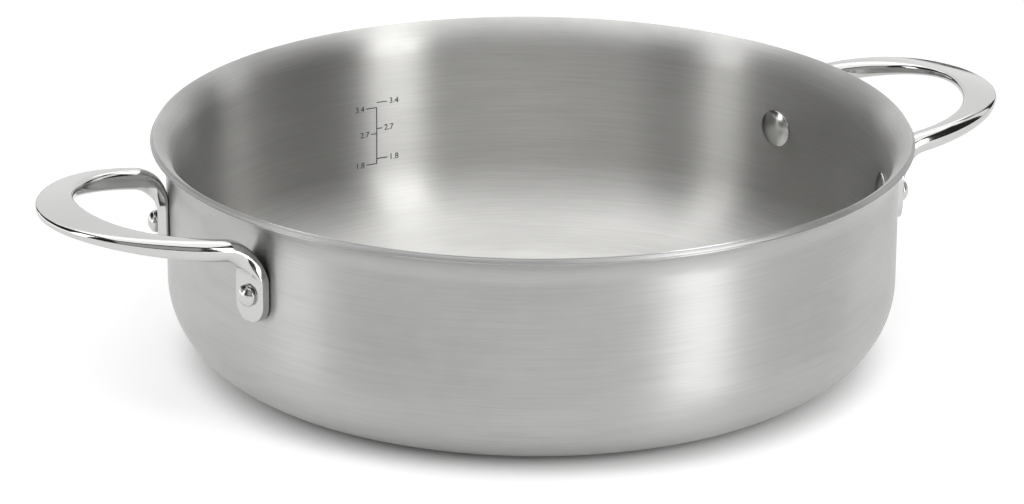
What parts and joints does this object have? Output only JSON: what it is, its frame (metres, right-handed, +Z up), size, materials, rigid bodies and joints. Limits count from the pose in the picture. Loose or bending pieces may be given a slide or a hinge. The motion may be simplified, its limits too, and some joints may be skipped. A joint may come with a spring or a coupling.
{
  "type": "saute pan",
  "caption": "Low round saute pan with straight walls, a flared pouring lip and riveted loop handles on opposite sides.",
  "frame": {"origin": "centre of the base, on the surface that the pan stands on", "axes": "+X through the right handle, +Z up out of the open top"},
  "size_m": [0.41, 0.3, 0.0905],
  "materials": {
    "outer_steel": "fine brushed round the wall",
    "core_aluminium": "bare, seen only at the rim's edge",
    "inner_steel": "brushed round the wall and floor",
    "handle_steel": "mirror polished cast stainless steel",
    "rivet_steel": "polished"
  },
  "bodies": {
    "root": {"outer_steel_ply": "outer_steel", "aluminium_core": "core_aluminium", "inner_steel_ply": "inner_steel", "handle_right": "handle_steel", "handle_left": "handle_steel", "rivet_right_front": "rivet_steel", "rivet_right_rear": "rivet_steel", "rivet_left_rear": "rivet_steel", "rivet_left_front": "rivet_steel"}
  },
  "joints": []
}
